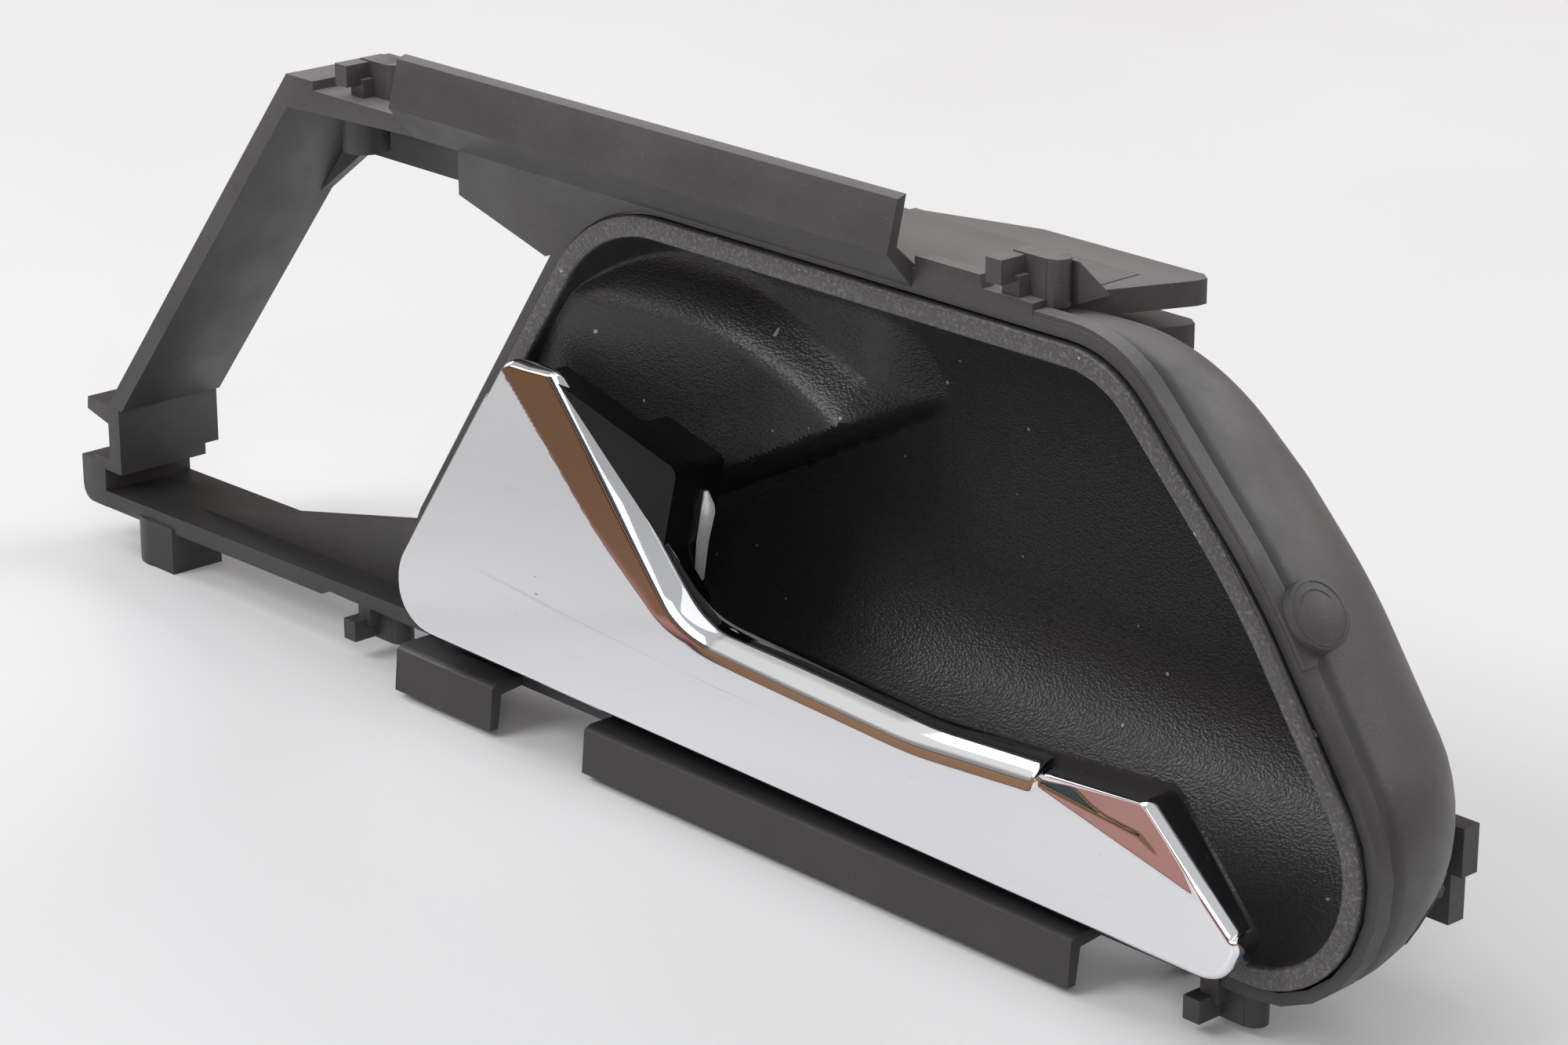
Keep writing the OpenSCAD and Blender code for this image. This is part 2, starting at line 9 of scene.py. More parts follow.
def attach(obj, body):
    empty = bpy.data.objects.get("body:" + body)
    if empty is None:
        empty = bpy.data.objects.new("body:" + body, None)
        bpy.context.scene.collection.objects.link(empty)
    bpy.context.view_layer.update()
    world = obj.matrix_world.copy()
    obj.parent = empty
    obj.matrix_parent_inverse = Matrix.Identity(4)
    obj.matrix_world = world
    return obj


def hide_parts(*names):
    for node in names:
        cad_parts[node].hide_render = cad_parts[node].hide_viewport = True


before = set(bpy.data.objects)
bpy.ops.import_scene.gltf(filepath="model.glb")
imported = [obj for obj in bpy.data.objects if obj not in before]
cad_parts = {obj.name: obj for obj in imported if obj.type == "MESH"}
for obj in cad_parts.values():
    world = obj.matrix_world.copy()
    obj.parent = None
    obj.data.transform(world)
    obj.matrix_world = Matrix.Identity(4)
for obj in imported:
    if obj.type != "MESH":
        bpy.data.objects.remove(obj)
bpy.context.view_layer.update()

# Measurements are in drawing coordinates, in mm. This shift takes them to the row frame.
SHIFT = Vector((29.265, -11.53, 41.0))
MM = 0.001


def row(x, y, z):
    return (Vector((x, y, z)) + SHIFT) * MM


# Outlines, as in the part's source: corners as x, z and radius
RIM_TOP, RIM_LOW, SLOPE = 31.6, -33.4, 0.688
GRIP_TOP = RIM_LOW + 19.8
SIDE_X, SIDE_Z = -51.3, 7.1
RIM = [(SIDE_X + SLOPE * (RIM_LOW - SIDE_Z), RIM_LOW, 10.0), (102.0, RIM_LOW, 15.3), (71.0, 11.0, 80.0),
       (50.5, RIM_TOP, 15.0), (SIDE_X + SLOPE * (RIM_TOP - SIDE_Z), RIM_TOP, 22.0)]
CAP = [(-73.9, RIM_LOW + 3.0, 6.5), (73.2, RIM_LOW + 1.2, 5.5), (76.4, RIM_LOW + 7.0, 2.0),
       (64.0, GRIP_TOP + 1.0, 2.0), (28.0, GRIP_TOP - 1.8, 60.0), (-9.8, GRIP_TOP, 14.0),
       (-37.6, 9.9, 3.0), (-45.4, 10.3, 2.4)]
# The slanted left side: along it, across it, and a point on it
ALONG, ACROSS, SIDE_REF = Vector((0.567, 0.824)), Vector((0.824, -0.567)), Vector((SIDE_X, SIDE_Z))
ROUND_STEPS = 16
BOWL_FILL, CAP_FILL = 84, 60

# Hinge: where the pin's foot lies along and across the slanted side, and how deep its axis is
HINGE_FOOT, PIN_ACROSS, PIN_Y = -33.0, 7.0, 7.6


def hinge_place(along):
    """The frame of the hinge pin: Z runs along the pin from this distance on the slanted side."""
    ref = SIDE_REF + along * ALONG + PIN_ACROSS * ACROSS
    return Matrix.Translation(row(ref.x, PIN_Y, ref.y)) @ Matrix.Rotation(math.atan2(ALONG.x, ALONG.y), 4, "Y")


def corner(a, b, c, r, inset, steps):
    """Points around the rounded corner at b of an outline that is moved inwards."""
    e1, e2 = (b - a).normalized(), (c - b).normalized()
    n1, n2 = Vector((-e1.y, e1.x)), Vector((-e2.y, e2.x))
    way = 1.0 if e1.x * e2.y - e1.y * e2.x > 0 else -1.0
    turn = way * math.acos(max(-1.0, min(1.0, e1.dot(e2))))
    rr = max(0.05, r - way * inset)
    mid = b + (n1 + n2) / (1 + n1.dot(n2)) * (inset + way * rr)
    pts = []
    for i in range(steps + 1):
        t = turn * i / steps
        pts.append(mid - way * rr * Vector((n1.x * math.cos(t) - n1.y * math.sin(t),
                                            n1.x * math.sin(t) + n1.y * math.cos(t))))
    return pts


def outline(shape, inset, steps, fill):
    """An outline's points, moved inwards, with extra points on its straight runs."""
    n = len(shape)
    v = [Vector(p[:2]) for p in shape]
    corners = [corner(v[i - 1], v[i], v[(i + 1) % n], shape[i][2], inset, steps) for i in range(n)]
    pts = []
    for i in range(n):
        pts += corners[i]
        a, b = corners[i][-1], corners[(i + 1) % n][0]
        pts += [a.lerp(b, k / (fill + 1)) for k in range(1, fill + 1)]
    return np.array([tuple(p) for p in pts])


def smooth(t):
    t = np.clip(t, 0.0, 1.0)
    return t * t * (3 - 2 * t)


def skin(name, rings, closed_ends=True):
    """A mesh through rings of (x, y, z) points in mm."""
    n, m = len(rings[0]), len(rings)
    verts = np.vstack(rings)
    faces = []
    for k in range(m - 1):
        for i in range(n):
            j = (i + 1) % n
            faces.append((k * n + i, (k + 1) * n + i, (k + 1) * n + j, k * n + j))
    if closed_ends:
        faces.append(tuple(range(n)))
        faces.append(tuple((m - 1) * n + n - 1 - i for i in range(n)))
    me = bpy.data.meshes.new(name)
    me.from_pydata([tuple(row(*v)) for v in verts], [], faces)
    o = bpy.data.objects.new(name, me)
    bpy.context.scene.collection.objects.link(o)
    bm = bmesh.new()
    bm.from_mesh(me)
    bmesh.ops.recalc_face_normals(bm, faces=bm.faces)
    bm.to_mesh(me)
    bm.free()
    shade_smooth(me)
    return o


def shade_smooth(me, sharp_deg=None):
    me.polygons.foreach_set("use_smooth", [True] * len(me.polygons))
    if sharp_deg is not None:
        me.set_sharp_from_angle(angle=math.radians(sharp_deg))


def apply_modifiers(o):
    dg = bpy.context.evaluated_depsgraph_get()
    me = bpy.data.meshes.new_from_object(o.evaluated_get(dg))
    o.modifiers.clear()
    old, o.data = o.data, me
    bpy.data.meshes.remove(old)


def box_piece(name, lo, hi):
    me = bpy.data.meshes.new(name)
    v = [(x, y, z) for x in (lo[0], hi[0]) for y in (lo[1], hi[1]) for z in (lo[2], hi[2])]
    f = [(0, 1, 3, 2), (4, 6, 7, 5), (0, 4, 5, 1), (2, 3, 7, 6), (0, 2, 6, 4), (1, 5, 7, 3)]
    me.from_pydata(v, [], f)
    o = bpy.data.objects.new(name, me)
    bpy.context.scene.collection.objects.link(o)
    return o


MERGE_DIST, FLAT_DEG, EDGE_DEG, SHORTEST_EDGE, SHADE_DEG = 2e-6, 1.5, 32.0, 0.15, 24


def bevelled_copy(node, name, width):
    """A copy of a CAD node with its edges rounded."""
    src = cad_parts[node]
    me = src.data.copy()
    me.name = name
    o = bpy.data.objects.new(name, me)
    o.matrix_world = src.matrix_world.copy()
    bpy.context.scene.collection.objects.link(o)
    bm = bmesh.new()
    bm.from_mesh(me)
    bmesh.ops.remove_doubles(bm, verts=bm.verts, dist=MERGE_DIST)
    bmesh.ops.dissolve_limit(bm, angle_limit=math.radians(FLAT_DEG), verts=bm.verts, edges=bm.edges)
    edges = [e for e in bm.edges if len(e.link_faces) == 2 and e.calc_length() > SHORTEST_EDGE * MM
             and e.calc_face_angle(0.0) > math.radians(EDGE_DEG)]
    bmesh.ops.bevel(bm, geom=edges, offset=width * MM, offset_type="OFFSET", segments=2, profile=0.5,
                    affect="EDGES", clamp_overlap=True)
    bmesh.ops.triangulate(bm, faces=[f for f in bm.faces if len(f.verts) > 4])
    bm.to_mesh(me)
    bm.free()
    shade_smooth(me, SHADE_DEG)
    return o


# Materials
def mat(name):
    """A new material with a principled shader: the material, its node tree and the shader."""
    m = bpy.data.materials.new(name)
    m.use_nodes = True
    nt = m.node_tree
    nt.nodes.clear()
    out = nt.nodes.new("ShaderNodeOutputMaterial")
    b = nt.nodes.new("ShaderNodeBsdfPrincipled")
    nt.links.new(b.outputs["BSDF"], out.inputs["Surface"])
    return m, nt, b


def obj_coords(nt, stretch=None):
    c = nt.nodes.new("ShaderNodeTexCoord").outputs["Object"]
    if stretch is not None:
        mp = nt.nodes.new("ShaderNodeMapping")
        mp.inputs["Scale"].default_value = stretch
        nt.links.new(c, mp.inputs["Vector"])
        c = mp.outputs["Vector"]
    return c


def noise(nt, scale, detail=4.0, rough=0.6, stretch=None):
    n = nt.nodes.new("ShaderNodeTexNoise")
    n.inputs["Scale"].default_value = scale
    n.inputs["Detail"].default_value = detail
    n.inputs["Roughness"].default_value = rough
    nt.links.new(obj_coords(nt, stretch), n.inputs["Vector"])
    return n.outputs["Fac"]


def remap(nt, value, a, b, c, d):
    """The value, taken from the range a to b to the range c to d."""
    r = nt.nodes.new("ShaderNodeMapRange")
    for k, v in zip(("From Min", "From Max", "To Min", "To Max"), (a, b, c, d)):
        r.inputs[k].default_value = v
    nt.links.new(value, r.inputs["Value"])
    return r.outputs["Result"]


def mix_color(nt, fac, a, b):
    m = nt.nodes.new("ShaderNodeMix")
    m.data_type = "RGBA"
    nt.links.new(fac, m.inputs["Factor"])
    for sock, v in ((m.inputs[6], a), (m.inputs[7], b)):
        if isinstance(v, tuple):
            sock.default_value = (*v, 1.0)
        else:
            nt.links.new(v, sock)
    return m.outputs[2]


def split_xyz(nt, vector):
    k = nt.nodes.new("ShaderNodeSeparateXYZ")
    nt.links.new(vector, k.inputs["Vector"])
    return k.outputs


def vector_math(nt, operation, first):
    k = nt.nodes.new("ShaderNodeVectorMath")
    k.operation = operation
    nt.links.new(first, k.inputs[0])
    return k


def bump(nt, b, parts):
    """parts: (height socket, strength, distance in m), stacked."""
    normal = None
    for height, strength, dist in parts:
        k = nt.nodes.new("ShaderNodeBump")
        k.inputs["Strength"].default_value = strength
        k.inputs["Distance"].default_value = dist
        nt.links.new(height, k.inputs["Height"])
        if normal is not None:
            nt.links.new(normal, k.inputs["Normal"])
        normal = k.outputs["Normal"]
    nt.links.new(normal, b.inputs["Normal"])


# Heights in m between which the carrier's painted shade and painted sheen change
LOW_Z, HIGH_Z, TOP_Z = 0.0, 0.055, 0.072


def carrier_material():
    """Black moulding with dust and wear, with painted shade low down and on its low level faces, and a painted
    sheen on its high level top faces.
    """
    m, nt, b = mat("carrier_black")
    dust = remap(nt, noise(nt, 2600, 2.0), 0.62, 0.74, 0.0, 1.0)
    wear = remap(nt, noise(nt, 60, 6.0, 0.7), 0.45, 0.75, 0.0, 1.0)
    streak = remap(nt, noise(nt, 400, 5.0, 0.7, (0.06, 1.0, 1.0)), 0.5, 0.8, 0.0, 1.0)
    base = mix_color(nt, wear, (0.044, 0.0405, 0.043), (0.060, 0.055, 0.058))
    base = mix_color(nt, remap(nt, streak, 0, 1, 0, 0.5), base, (0.06, 0.058, 0.056))
    base = mix_color(nt, remap(nt, dust, 0, 1, 0, 0.35), base, (0.13, 0.13, 0.135))
    # Faces that look up: painted shade on the low ones and a painted sheen on the high ones
    facing = split_xyz(nt, nt.nodes.new("ShaderNodeNewGeometry").outputs["Normal"])
    level = remap(nt, facing["Z"], 0.8, 1.0, 0.0, 0.85)
    height = split_xyz(nt, obj_coords(nt))["Z"]
    # Painted shade: darker towards the floor
    base = mix_color(nt, remap(nt, height, LOW_Z, HIGH_Z, 0.55, 0.0), base, (0.02, 0.019, 0.02))
    high = remap(nt, height, HIGH_Z, TOP_Z, 0.0, 1.0)
    base = mix_color(nt, level, base, mix_color(nt, high, (0.016, 0.015, 0.016), (0.2, 0.192, 0.192)))
    nt.links.new(base, b.inputs["Base Color"])
    nt.links.new(remap(nt, noise(nt, 90, 5.0), 0.3, 0.7, 0.42, 0.58), b.inputs["Roughness"])
    bump(nt, b, [(noise(nt, 2600, 3.0), 0.25, 0.00012), (noise(nt, 300, 3.0), 0.1, 0.0002)])
    return m


def grain_material():
    """Fine leather grain in the bowl, plain and speckled on the flat rim, which is painted lighter as lit, with
    painted glints in its speckles.
    """
    m, nt, b = mat("bowl_grain")
    vor = nt.nodes.new("ShaderNodeTexVoronoi")
    vor.feature = "SMOOTH_F1"
    vor.inputs["Smoothness"].default_value = 0.6
    vor.inputs["Scale"].default_value = 2500
    wob = nt.nodes.new("ShaderNodeTexNoise")
    wob.inputs["Scale"].default_value = 700
    nt.links.new(obj_coords(nt), wob.inputs["Vector"])
    sc = vector_math(nt, "SCALE", wob.outputs["Color"])
    sc.inputs["Scale"].default_value = 0.0008
    warp = vector_math(nt, "ADD", obj_coords(nt, (1.0, 1.0, 1.5)))
    nt.links.new(sc.outputs["Vector"], warp.inputs[1])
    nt.links.new(warp.outputs["Vector"], vor.inputs["Vector"])
    cells = remap(nt, vor.outputs["Distance"], 0.1, 0.75, 1.0, 0.0)
    base = mix_color(nt, cells, (0.022, 0.0210, 0.0225), (0.036, 0.0345, 0.036))
    # Painted light: the flat rim is coloured lighter than the shaded inside, and its speckles are painted glints
    on_rim = remap(nt, split_xyz(nt, obj_coords(nt))["Y"], row(0, 0.35, 0).y, row(0, 0.7, 0).y, 1.0, 0.0)
    sparkle = remap(nt, noise(nt, 2400, 2.0), 0.5, 0.72, 0.0, 1.0)
    rim_color = mix_color(nt, sparkle, (0.057, 0.053, 0.056), (0.13, 0.125, 0.13))
    base = mix_color(nt, on_rim, base, rim_color)
    specks = remap(nt, noise(nt, 900, 0.0), 0.86, 0.88, 0.0, 1.0)
    base = mix_color(nt, specks, base, (0.3, 0.29, 0.27))
    nt.links.new(base, b.inputs["Base Color"])
    nt.links.new(remap(nt, noise(nt, 80, 4.0), 0.3, 0.7, 0.36, 0.44), b.inputs["Roughness"])
    bump(nt, b, [(cells, 0.6, 0.00008), (noise(nt, 3500, 2.0), 0.25, 0.00004)])
    return m


def chrome_material():
    """Bright plating with fine scratches and pits, and a painted reflection that greys it towards the hinge."""
    m, nt, b = mat("chrome_plate")
    b.inputs["Metallic"].default_value = 1.0
    scratch = remap(nt, noise(nt, 500, 6.0, 0.75, (0.12, 1.0, 1.4)), 0.62, 0.7, 0.0, 1.0)
    base = mix_color(nt, scratch, (0.85, 0.85, 0.865), (0.79, 0.79, 0.80))
    pits = remap(nt, noise(nt, 420, 3.0, 0.6, (1.0, 1.0, 2.2)), 0.755, 0.77, 0.0, 0.8)
    base = mix_color(nt, pits, base, (0.25, 0.24, 0.23))
    # Painted reflection: the plate is darker towards the top left, as a darker part of the room would reflect in
    # it
    painted_reflection_grade = vector_math(nt, "DOT_PRODUCT", obj_coords(nt))
    painted_reflection_grade.inputs[1].default_value = (-0.15, 0.0, 1.0)
    shade = remap(nt, painted_reflection_grade.outputs["Value"], 0.010, 0.040, 0.95, 0.68)
    scale = vector_math(nt, "SCALE", base)
    nt.links.new(shade, scale.inputs["Scale"])
    nt.links.new(scale.outputs["Vector"], b.inputs["Base Color"])
    nt.links.new(remap(nt, noise(nt, 70, 5.0), 0.3, 0.7, 0.03, 0.07), b.inputs["Roughness"])
    bump(nt, b, [(noise(nt, 45, 2.0), 0.03, 0.0003)])
    return m


def satin_material(name, base, rough, metal=0.0, shine=0.5):
    """A smooth finish with a slight cloudiness."""
    m, nt, b = mat(name)
    b.inputs["Specular IOR Level"].default_value = shine
    b.inputs["Metallic"].default_value = metal
    tint = remap(nt, noise(nt, 150, 5.0), 0.35, 0.7, 0.0, 1.0)
    lighter = tuple(v * 1.35 for v in base)
    nt.links.new(mix_color(nt, tint, base, lighter), b.inputs["Base Color"])
    nt.links.new(remap(nt, noise(nt, 70, 4.0), 0.3, 0.7, rough - 0.05, rough + 0.07), b.inputs["Roughness"])
    bump(nt, b, [(noise(nt, 2000, 2.0), 0.08, 0.0001)])
    return m


M = {
    "carrier": carrier_material(),
    "bowl": grain_material(),
    "black": satin_material("lever_satin", (0.0035, 0.0035, 0.004), 0.2, 0.0, 0.2),
    "chrome": chrome_material(),
    "pin": satin_material("pin_steel", (0.45, 0.45, 0.46), 0.3, 1.0),
    "wire": satin_material("wire_steel", (0.33, 0.33, 0.34), 0.35, 1.0),
    # Painted reflection: the strip on the lever's root is white for the light its glossy edge reflects
    "white": satin_material("strip_white", (0.62, 0.62, 0.63), 0.16, 0.35),
    "rubber": satin_material("rubber_pad", (0.02, 0.02, 0.02), 0.75),
}


def dress(o, key, body=None):
    """Gives an object its material, and a piece of the visual model its body."""
    o.data.materials.clear()
    o.data.materials.append(M[key])
    if body:
        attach(o, body)


CAD_FINISH = {"frame": "carrier", "bowl": "bowl", "lever_body": "black", "lever_cap": "chrome", "hinge_pin": "pin",
              "return_spring": "wire", "stop_buffer": "rubber"}
for name, key in CAD_FINISH.items():
    dress(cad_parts[name], key)

# Carrier: the CAD solid with rounded edges
CARRIER_BEVEL, LEVER_BEVEL = 0.28, 0.35
carrier = bevelled_copy("frame", "carrier", CARRIER_BEVEL)
dress(carrier, "carrier", "base")
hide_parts("frame")

# Rounded end shell, as a smooth skin over the CAD's flat facets
CORE_A, CORE_B, CORE_END, POWER = Vector((-24, -8.0)), Vector((60, -11.0)), 0.93, 2.2
RING_CROWD = 1.6
SHELL_DEPTH, BOWL_DEPTH, BOWL_T = 30.1, 26.0, 1.7
SHELL_INSET, SHELL_START, SHELL_CUT_X = -1.69, 3, 30
SHELL_STEPS, SHELL_FILL, SHELL_RINGS, SHELL_SKIN = 14, 20, 36, 0.25


def to_core(p, s, a=CORE_A, b=CORE_B):
    """Points moved by the share s of their way to the core line from a to b."""
    t = np.clip((p[:, 0] - a.x) / (b.x - a.x), 0, 1)[:, None]
    core = np.array([tuple(a)]) + t * np.array([tuple(b - a)])
    return p + s * (core - p)


def wall_depth(s, depth):
    return depth * (1 - (1 - s) ** POWER) ** (1 / POWER)


def shell_y(s):
    return SHELL_START + wall_depth(s, SHELL_DEPTH - SHELL_START)


def shell_ring(s):
    q = to_core(outline(RIM, SHELL_INSET, SHELL_STEPS, SHELL_FILL), s)
    return np.column_stack([q[:, 0], np.full(len(q), shell_y(s)), q[:, 1]])


def shell_skin():
    rings = [shell_ring(CORE_END * (k / SHELL_RINGS) ** RING_CROWD) for k in range(SHELL_RINGS + 1)]
    o = skin("end_shell_skin", rings, closed_ends=False)
    bm = bmesh.new()
    bm.from_mesh(o.data)
    bmesh.ops.bisect_plane(bm, geom=bm.verts[:] + bm.edges[:] + bm.faces[:], dist=1e-7,
                           plane_co=(row(SHELL_CUT_X, 0, 0).x, 0, 0), plane_no=(-1, 0, 0), clear_outer=True)
    bm.normal_update()
    # The faces have to look away from a point inside the shell
    mid = row(50, 0, -5)
    if sum(f.normal.dot(f.calc_center_median() - mid) for f in bm.faces) < 0:
        bmesh.ops.reverse_faces(bm, faces=bm.faces)
    bm.to_mesh(o.data)
    bm.free()
    shade_smooth(o.data)
    s = o.modifiers.new("thick", "SOLIDIFY")
    s.thickness = SHELL_SKIN * MM
    s.offset = -1.0
    apply_modifiers(o)
    return o


shell = shell_skin()
dress(shell, "carrier", "base")

# Pull bowl: the source's own form on a fine grid, with the grain
RIM_W, RIM_T, BOWL_RINGS, BOWL_SHARP_DEG = 2.6, 1.6, 96, 50
# The rim's flat front and its rounded edges: inset from the outline, and depth
LIP = ((RIM_W, 0.45), (RIM_W - 0.07, 0.2), (RIM_W - 0.2, 0.06), (RIM_W - 0.4, 0.0), (0.35, 0.0), (0.12, 0.06),
       (0.03, 0.2), (0, 0.4), (0, RIM_T), (RIM_W - BOWL_T, RIM_T))
# The hinge bay's opening in the bowl: two boxes in the pin's frame
BAY_MARGIN = 0.35
BAY_BOXES = (((-9, -5.65, 0), (9.35, 34, 30.9)), ((-4.05, -8.6, 0), (9.35, 31, 30.9)))


def smin(a, b, k):
    """The lower of two values, blended over k."""
    h = np.clip(0.5 + (b - a) / (2 * k), 0, 1)
    return b * (1 - h) + a * h - k * h * (1 - h)


def smax(a, b, k):
    """The higher of two values, blended over k."""
    h = np.clip(0.5 + (a - b) / (2 * k), 0, 1)
    return a * h + b * (1 - h) + k * h * (1 - h)


# Cheek over the hinge. Its pad slopes between two depths, its crest is a bent line and its sill a straight one.
PAD_NEAR, PAD_FAR, PAD_Y, PAD_SLOPE, PAD_X = 1.6, 11.0, 1.9, 0.55, -39
CREST_Z, CREST_SLOPE, CREST_BEND, CREST_X, CREST_SOFT, CREST_DROP = 19.6, 0.22, 0.004, -30, 6.5, 5.0
SILL_Z, SILL_SLOPE, SILL_X, SILL_SOFT = -4.4, 0.52, -25.4, 2.4
OUTER_SILL_SHIFT, OUTER_SILL_SOFT = 2.3, 7
CHEEK_END, CHEEK_END_SOFT, CHEEK_BLEND = 4.5, 8, 1.5


def cheek_y(x):
    """The pad's depth: level, then sloping away to the right, and level again."""
    return smin(-smin(-(PAD_Y + PAD_SLOPE * (x - PAD_X)), -PAD_NEAR, 2.5), PAD_FAR, 2.5)


def cheek_form(x, z, wall, outside=False):
    """The cheek over the hinge: a pad with a soft crest above and a sharp sill below, softer outside."""
    along = x - CREST_X
    crest = smooth((CREST_Z - CREST_SLOPE * along - CREST_BEND * along ** 2 - z) / CREST_SOFT + 0.5)
    dip = 0.9 * smooth((17 - z) / 12) * smooth((z + 4 - 0.5 * (x + 25)) / 10)
    pad = cheek_y(x) + CREST_DROP * (1 - crest) + dip
    over_sill = z - (SILL_Z + SILL_SLOPE * (x - SILL_X))
    if outside:
        sill = smooth((over_sill - OUTER_SILL_SHIFT) / OUTER_SILL_SOFT + 0.5)
    else:
        sill = smooth(over_sill / SILL_SOFT + 0.5)
    end = smooth((CHEEK_END - x) / CHEEK_END_SOFT)
    return wall + (smin(wall, pad, CHEEK_BLEND) - wall) * sill * end


def bowl_ring(inset, s, extra):
    """A ring of the bowl's wall: its inside, or its outside where extra is the wall's thickness."""
    p = to_core(outline(RIM, inset, ROUND_STEPS, BOWL_FILL), s)
    y = cheek_form(p[:, 0], p[:, 1], np.full(len(p), wall_depth(s, BOWL_DEPTH)), extra > 0)
    return np.column_stack([p[:, 0], y + extra, p[:, 1]])


def rim_ring(inset, y):
    p = outline(RIM, inset, ROUND_STEPS, BOWL_FILL)
    return np.column_stack([p[:, 0], np.full(len(p), y), p[:, 1]])


def bowl_piece():
    ks = [CORE_END * (k / BOWL_RINGS) ** RING_CROWD for k in range(1, BOWL_RINGS + 1)]
    inner = [bowl_ring(RIM_W, s, 0) for s in reversed(ks)]
    outer = [bowl_ring(RIM_W - BOWL_T, s, BOWL_T) for s in ks[::2]]
    o = skin("bowl_grained", inner + [rim_ring(inset, y) for inset, y in LIP] + outer)
    for lo, hi in BAY_BOXES:
        cut = box_piece("bay_cut", [v * MM for v in lo], [v * MM for v in hi])
        cut.matrix_world = hinge_place(HINGE_FOOT - BAY_MARGIN)
        mod = o.modifiers.new("cut", "BOOLEAN")
        mod.object = cut
        mod.solver = "EXACT"
        bpy.context.view_layer.update()
        apply_modifiers(o)
        bpy.data.objects.remove(cut)
    shade_smooth(o.data, BOWL_SHARP_DEG)
    return o


bowl = bowl_piece()
dress(bowl, "bowl", "base")
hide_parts("bowl")

# Lever cap: the source's form on a fine grid, with its bevel, rounded edge and scoop
CAP_CORE_A, CAP_CORE_B = Vector((-57, RIM_LOW + 15.4)), Vector((64, RIM_LOW + 9.9))
CAP_CORE_RINGS, CAP_CORE_END, CAP_BACK_INSET, CAP_SHARP_DEG = 64, 0.985, 1.1, 60
CAP_INSETS = (2.4, 2.2, 2.0, 1.8, 1.6, 1.4, 1.2, 1.02, 0.86, 0.71, 0.58, 0.46, 0.36, 0.27, 0.19, 0.13, 0.08, 0.04,
              0.015, 0.0)
# Normals are set by formula on the rings towards the core and on this many of the insets
EXACT_INSETS, NORMAL_STEP = 4, 0.03
# Flat face: its depth at the slanted side and how it leans, and the same for the part below the grip's top
FACE_Y, FACE_LEAN, FACE_ACROSS = -4.8, 0.054, 2.8
LOWER_Y, LOWER_LEAN, LOWER_Z = -7.0, 0.155, GRIP_TOP - 1.6
# Edges: the long edge's rounding, that of the tip and the roll of the lower edges
LONG_R, TIP_R, ROLL_R, ROLL_DEPTH = 2.6, 0.8, 0.8, 0.6
BEVEL_MIN, BEVEL_MORE, BEVEL_SLOPE, BEVEL_STEEPER = 0.9, 3.6, 0.42, 0.16
# Scoop: where it starts and ends, its fall for each mm above the ridge, and the hollow's extra fall
SCOOP_START, SCOOP_END, SCOOP_FALL, HOLLOW_FALL = 46.5, 66, 0.495, 0.25
RIDGE_X, RIDGE_Z, RIDGE_SLOPE, RIDGE_COS = 47, GRIP_TOP - 2.6, 0.262, 0.967


def across_of(x, z):
    """Distance from the slanted left side."""
    return (x - SIDE_REF.x) * ACROSS.x + (z - SIDE_REF.y) * ACROSS.y


def flat_y(x, z):
    """The flat front face, which leans back below the grip."""
    return smax(FACE_Y - FACE_LEAN * (across_of(x, z) - FACE_ACROSS), LOWER_Y + LOWER_LEAN * (LOWER_Z - z), 0.35)


# The cap's upper edge, cut from the outline's points, which come in equal runs from each corner
PER = ROUND_STEPS + 1 + CAP_FILL
CAP_EDGE = outline(CAP, 0, ROUND_STEPS, CAP_FILL)
UPPER_EDGE = CAP_EDGE[3 * PER - CAP_FILL:7 * PER + 7]
LONG_EDGE = np.vstack([CAP_EDGE[3 * PER - CAP_FILL:6 * PER + 1], [[-52.9, GRIP_TOP + 36.4]]])
TIP_EDGE = CAP_EDGE[6 * PER:7 * PER + 25]


def edge_distance(x, z, edge):
    """Distance of points from a line through the edge's points."""
    p = np.column_stack([x, z])
    a, b = edge[:-1], edge[1:]
    d = b - a
    best = np.full(len(p), 1e9)
    for i in range(len(a)):
        t = np.clip(((p - a[i]) @ d[i]) / (d[i] @ d[i]), 0, 1)
        best = np.minimum(best, np.linalg.norm(p - a[i] - t[:, None] * d[i], axis=1))
    return best


def back_y(x):
    """The cap's back, deeper along the grip."""
    return -3.0 + 1.5 * smooth((x + 13) / 20)


def edge_back(x, z):
    """Where the upper edge ends at the back: clear of the bowl's rim when the lever is pulled."""
    return np.clip(-1.25 - 0.466 * (7 - across_of(x, z)), -2.95, -1.75)


def ridge_h(x, z):
    """Height above the ridge that borders the scoop at the right end."""
    return (z - RIDGE_Z + RIDGE_SLOPE * (x - RIDGE_X)) * RIDGE_COS


